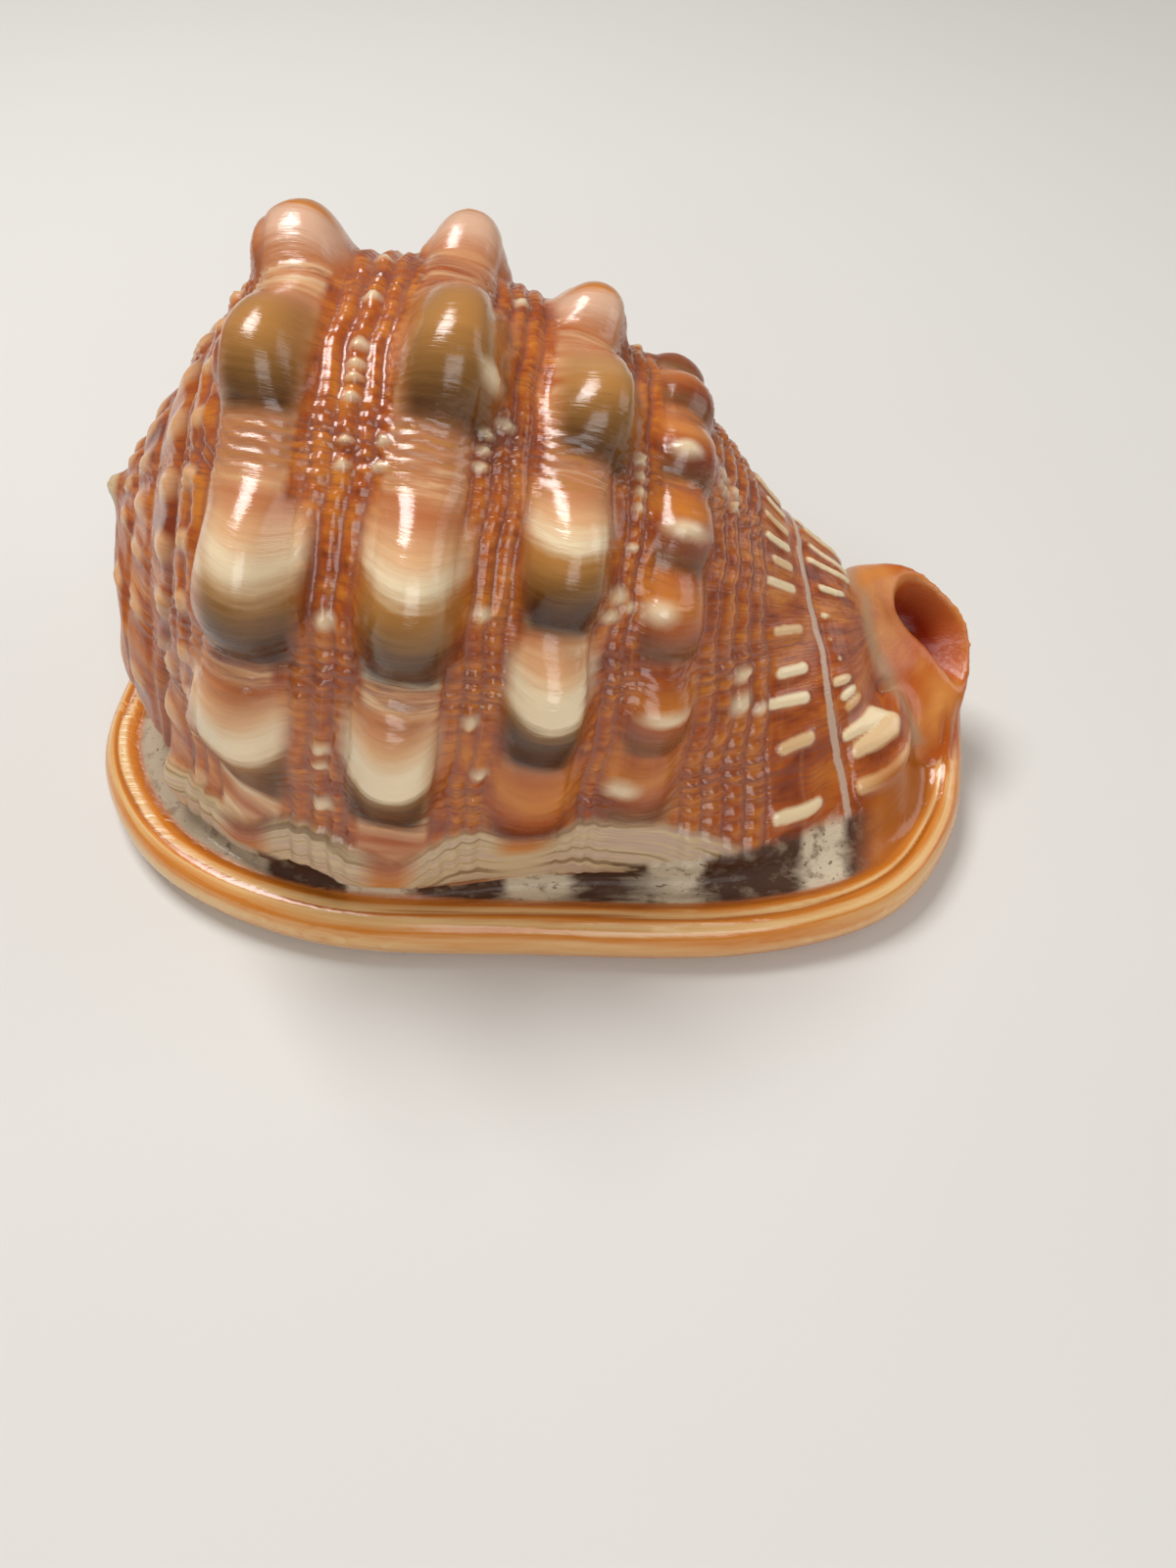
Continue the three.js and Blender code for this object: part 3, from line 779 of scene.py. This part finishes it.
# Noise stretched along or across the spiral: (place, stretch, scale per mm, detail)
noises = {
    "growth": ("coil", (0.1, 1, 0), 1.15, 4),  # growth lines about 0.8 mm apart
    "hair": ("coil", (0.12, 1, 0), 3.2, 2),  # hairlines about 0.3 mm apart
    "broad": ("coil", (0.12, 1, 0), 0.22, 2),  # bands of colour 4 mm wide
    "spiral": ("coil", (1, 0.06, 0), 0.6, 3),  # stripes along the spiral, 1 to 3 mm
    "blotch": ("coil", (1, 1, 0), 0.13, 3),
    "pick": ("coil", (1, 1, 0), 0.3, 0),
    "leaves": ("leafPlace", (0.04, 1, 0.05), 0.7, 2),  # leaves of the last edge, one below another
    "streak": ("foot", (1, 0.03, 0.5), 0.55, 3),  # streaks along the rim
    "rimPatch": ("foot", (0.1, 0.05, 0.1), 1, 2),
    "dust": ("foot", (1, 0.7, 1), 0.35, 4),
    "pits": ("foot", (1, 0.5, 1), 1.1, 1),
}

# Facts that a noise makes uneven: (noise, how much, fact)
wavering = {
    "rimLine": ("streak", 4.0, "inset"),
    "oddEdge": ("growth", 0.3, "oddSide"),
    "evenEdge": ("growth", 0.3, "evenSide"),
}

# Tints that change with one fact: (fact, low, high, colour stops)
tints = {
    "groundTint": ("blotch", 0.3, 0.7, [(0.05, "rust"), (0.45, "orange"), (0.95, "amber")]),
    "trunkTint": ("broad", 0.32, 0.68, [(0.1, "orange"), (0.35, "rose"), (0.7, "peach"), (0.95, "cream")]),
    "neckTint": ("growth", 0.3, 0.7, [(0.1, "tan"), (0.5, "rose"), (0.9, "peach")]),
    "leafTint": ("leaves", 0.35, 0.68, [(0.1, "leafGrey"), (0.45, "leafPale"), (0.7, "greyLine"),
                                        (0.95, "leafPale")]),
    "sagTint": ("leaf", -5, 5, [(0.1, "leafPale"), (0.3, "amber"), (0.6, "orange"), (0.8, "rust")]),
    "dustTint": ("dust", 0.3, 0.6, [(0.1, "chalkGrey"), (0.5, "chalk")]),
    "blockTint": ("dust", 0.5, 0.8, [(0.1, "chalkBrown"), (0.9, "chalkGrey")]),
    "rimTint": ("rimLine", 1.5, 10, [(0.05, "rimCream"), (0.2, "rimOrange"), (0.32, "rimCream"),
                                     (0.42, "rimOrange"), (0.5, "rimRust"), (0.58, "rimCream"),
                                     (0.7, "rimOrange"), (0.86, "rimRust")]),
    # the bore turns darker the deeper it goes: painted shade over the bore's own orange
    "boreColourAndShade": ("depth", -1, 7, [(0.05, "canalPale"), (0.35, "bore"), (1, "boreDeep")]),
    "canalTint": ("rimPatch", 0.35, 0.7, [(0.1, "canal"), (0.9, "canalPale")]),
    "shieldTint": ("streak", 0.35, 0.65, [(0.1, "shield"), (0.9, "rimCream")]),
}

# Each tone of knob, from its foot at the lip side over the tip to its older side. The browns at the
# lip-side foot are painted shade on the knob's lower side; the other stops are the knob's own colour.
knobTones = [
    [(0.14, "darkBrown"), (0.3, "brown"), (0.38, "olive"), (0.47, "cream"), (0.64, "cream"), (0.78, "peach"),
     (0.96, "rose")],
    [(0.06, "darkBrown"), (0.18, "brown"), (0.3, "olive"), (0.46, "tan"), (0.58, "cream"), (0.72, "peach"),
     (0.92, "rose")],
    [(0.02, "brown"), (0.16, "olive"), (0.42, "tan"), (0.62, "tan"), (0.85, "rose")],
    [(0.03, "rose"), (0.14, "pink"), (0.27, "pink"), (0.36, "amber"), (0.6, "tan"), (0.9, "peach")],
    [(0.1, "brown"), (0.26, "rust"), (0.42, "orange"), (0.6, "amber"), (0.9, "orange")],
]
for side in ("odd", "even"):
    for k, stops in enumerate(knobTones):
        tints[f"{side}Tone{k}"] = (f"{side}Edge", -0.75, 1.3, stops)

# Tints mixed from two others: (fact, low, high, most, first, second)
blends = {
    "ribTint": ("paleRib", 0, 1, 1, "ribAmber", "ribCream"),
    "flangeTint": ("sag", 0.55, 0.95, 0.85, "leafTint", "sagTint"),
    "chalkTint": ("x", -30, -44, 0.6, "dustTint", "chalkGrey"),
    "floorTint": ("block", 0, 1, 1, "chalkTint", "blockTint"),
}
for side in ("odd", "even"):
    blends[f"{side}Knob0"] = (f"{side}Tone", 0, 1, 1, f"{side}Tone0", f"{side}Tone1")
    for k in range(1, len(knobTones) - 1):
        blends[f"{side}Knob{k}"] = (f"{side}Tone", k, k + 1, 1, f"{side}Knob{k - 1}", f"{side}Tone{k + 1}")

# Colours laid one over another: (fact, low, high, most, the fact it is limited to, colour)
layers = [
    ("growth", 0.5, 0.66, 0.5, None, "rust"),
    ("spiral", 0.52, 0.68, 0.45, None, "rose"),
    ("hair", 0.5, 0.6, 0.35, "stop", "mauve"),
    ("pick", 0.42, 0.6, 0.8, "bead", "amber"),
    ("seam", 0.2, 0.9, 0.55, None, "mauve"),
    ("trunk", 0.1, 0.9, 0.9, None, "trunkTint"),
    ("neckTan", 0, 0.6, 1, "neckTan", "neckTint"),
    ("growth", 0.45, 0.6, 0.6, "stop", "mauve"),
    ("oddPaint", 0, 1, 1, None, "oddKnob3"),
    ("evenPaint", 0, 1, 1, None, "evenKnob3"),
    ("mark", 0.15, 0.9, 0.8, None, "cream"),
    ("rib", 0.3, 0.65, 1, None, "ribTint"),
    ("grey", 0.35, 0.6, 1, None, "greyLine"),
    ("nodule", 0.25, 0.7, 0.85, None, "peach"),
    ("along", 3.2, 2, 1, None, "leafPale"),
    ("suture", 0.2, 1, 0.6, None, "rust"),
    ("flange", 0, 1, 1, None, "flangeTint"),
    ("channel", 0, 1, 1, None, "floorTint"),
    ("pits", 0.68, 0.74, 0.7, "channel", "chalkBrown"),
    ("rim", 0, 1, 1, None, "rimTint"),
    ("canal", 0, 1, 1, None, "canalTint"),
    ("neck", 0.1, 1, 0.85, None, "neckGrey"),
    ("bore", 0, 1, 1, None, "boreColourAndShade"),
    ("under", 0, 1, 1, None, "shieldTint"),
    ("teeth", 0.3, 0.7, 1, None, "tooth"),
    # the inside of the slot and the hollow is painted dark: painted shade in the openings
    ("inside", 0, 1, 1, None, "boreDeep"),
]


def makeFinish():
    # Glossy shell: a thin clear shine over growth lines, bands and beads; the channel is dull and chalky
    material = bpy.data.materials.new("glossy banded shell")
    material.use_nodes = True
    tree = material.node_tree
    tree.nodes.clear()
    colour = {name: linear(code) for name, code in finish.items()}

    place, fact = {}, {}
    for name, parts in surfaceMaps.items():
        place[name] = addNode(tree, "ShaderNodeAttribute", attribute_name=name).outputs["Vector"]
        fact.update(zip(parts, addNode(tree, "ShaderNodeSeparateXYZ", {0: place[name]}).outputs))
    spot = addNode(tree, "ShaderNodeCombineXYZ", {0: fact["along"], 1: fact["leaf"]})
    place["leafPlace"] = spot.outputs[0]
    for name, (where, stretch, scale, detail) in noises.items():
        spot = addNode(tree, "ShaderNodeMapping", {0: place[where], 3: stretch}).outputs[0]
        fact[name] = addNode(tree, "ShaderNodeTexNoise", {
            "Vector": spot, "Scale": scale, "Detail": detail, "Roughness": 0.6}).outputs["Fac"]
    for name, (source, much, start) in wavering.items():
        fact[name] = addNode(tree, "ShaderNodeMath", {0: fact[source], 1: much, 2: fact[start]},
                             operation="MULTIPLY_ADD").outputs[0]

    for name, (source, low, high, stops) in tints.items():
        spread = addNode(tree, "ShaderNodeMapRange", {0: fact[source], 1: low, 2: high}).outputs[0]
        stops = [(at, colour[code]) for at, code in stops]
        colour[name] = addNode(tree, "ShaderNodeValToRGB", {0: spread}, stops=stops).outputs[0]
    for name, (source, low, high, most, first, second) in blends.items():
        amount = addNode(tree, "ShaderNodeMapRange", {0: fact[source], 1: low, 2: high, 4: most}).outputs[0]
        mix = {0: amount, 6: colour[first], 7: colour[second]}
        colour[name] = addNode(tree, "ShaderNodeMix", mix, data_type="RGBA").outputs[2]
    tint = colour["groundTint"]
    for source, low, high, most, limit, top in layers:
        amount = addNode(tree, "ShaderNodeMapRange", {0: fact[source], 1: low, 2: high, 4: most}).outputs[0]
        if limit:
            both = {0: amount, 1: fact[limit]}
            amount = addNode(tree, "ShaderNodeMath", both, operation="MULTIPLY").outputs[0]
        mix = {0: amount, 6: tint, 7: colour[top]}
        tint = addNode(tree, "ShaderNodeMix", mix, data_type="RGBA").outputs[2]

    spread = {0: fact["growth"], 1: 0.3, 2: 0.7, 3: 0.12, 4: 0.24}
    rough = addNode(tree, "ShaderNodeMapRange", spread).outputs[0]
    for part, dull in (("channel", 0.75), ("flange", 0.4), ("neck", 0.5), ("inside", 0.5)):
        rough = addNode(tree, "ShaderNodeMix", {0: fact[part], 2: rough, 3: dull}).outputs[0]
    lines = addNode(tree, "ShaderNodeBump", {"Strength": 0.3, "Distance": 0.0005, "Height": fact["growth"]})
    chalky = addNode(tree, "ShaderNodeMath", {0: fact["dust"], 1: fact["channel"]}, operation="MULTIPLY")
    relief = addNode(tree, "ShaderNodeBump", {
        "Strength": 0.6, "Distance": 0.001, "Height": chalky.outputs[0], "Normal": lines.outputs[0]})
    shader = addNode(tree, "ShaderNodeBsdfPrincipled", {
        "Base Color": tint, "Roughness": rough, "Normal": relief.outputs[0], "IOR": 1.53, "Coat Weight": 0.2,
        "Coat Roughness": 0.06})
    addNode(tree, "ShaderNodeOutputMaterial", {0: shader.outputs[0]})
    return material


whole.data.materials.clear()
whole.data.materials.append(makeFinish())
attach(whole, "root")
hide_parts("helmet_shell")

# Plain pale table
table = {"half": 3.0, "colour": "#d9d6d0", "fleck": "#dedbd6"}
bm = bmesh.new()
bmesh.ops.create_grid(bm, x_segments=1, y_segments=1, size=table["half"])
floor = toObject(bm, "tableTop")
paper = bpy.data.materials.new("matt white paper")
paper.use_nodes = True
paperTree = paper.node_tree
paperTree.nodes.clear()
paperNoise = addNode(paperTree, "ShaderNodeTexNoise", {"Scale": 40.0, "Detail": 4.0}).outputs["Fac"]
paperMix = {0: paperNoise, 6: linear(table["colour"]), 7: linear(table["fleck"])}
paperTint = addNode(paperTree, "ShaderNodeMix", paperMix, data_type="RGBA").outputs[2]
paperShader = addNode(paperTree, "ShaderNodeBsdfPrincipled", {"Base Color": paperTint, "Roughness": 0.8})
addNode(paperTree, "ShaderNodeOutputMaterial", {0: paperShader.outputs[0]})
floor.data.materials.append(paper)

# Soft boxes: a large one over the back left, a long one in front, a weak one on the right
lamps = {
    "overhead": {"at": (-0.25, 0.25, 0.75), "size": 0.35, "power": 5.2},
    "front": {"at": (0.1, -0.75, 0.6), "size": 0.6, "power": 3.4},
    "right": {"at": (0.8, 0.1, 0.45), "size": 0.5, "power": 1.2},
}
for name, lamp in lamps.items():
    light = bpy.data.lights.new(name, "AREA")
    light.size = lamp["size"]
    light.energy = lamp["power"]
    lit = bpy.data.objects.new(name, light)
    lit.location = lamp["at"]
    lit.rotation_euler = (Vector((0, 0, 0.03)) - Vector(lamp["at"])).to_track_quat("-Z", "Y").to_euler()
    scene.collection.objects.link(lit)
world = bpy.data.worlds.new("studio")
world.use_nodes = True
world.node_tree.nodes["Background"].inputs[0].default_value = (1.0, 0.96, 0.9, 1.0)
world.node_tree.nodes["Background"].inputs[1].default_value = 0.2
scene.world = world

view = {"at": (9.0, -151.0, 167.0), "down": 50.8, "lens": 27.0}
camera = bpy.data.objects.new("camera", bpy.data.cameras.new("camera"))
camera.data.lens = view["lens"]
camera.data.sensor_width = 36.0
camera.data.clip_start = 0.01
camera.location = (Vector(view["at"]) + place) * 0.001
camera.rotation_euler = (math.radians(90 - view["down"]), 0, 0)
scene.collection.objects.link(camera)
scene.camera = camera
scene.view_settings.view_transform = "Standard"
print("staged", flush=True)
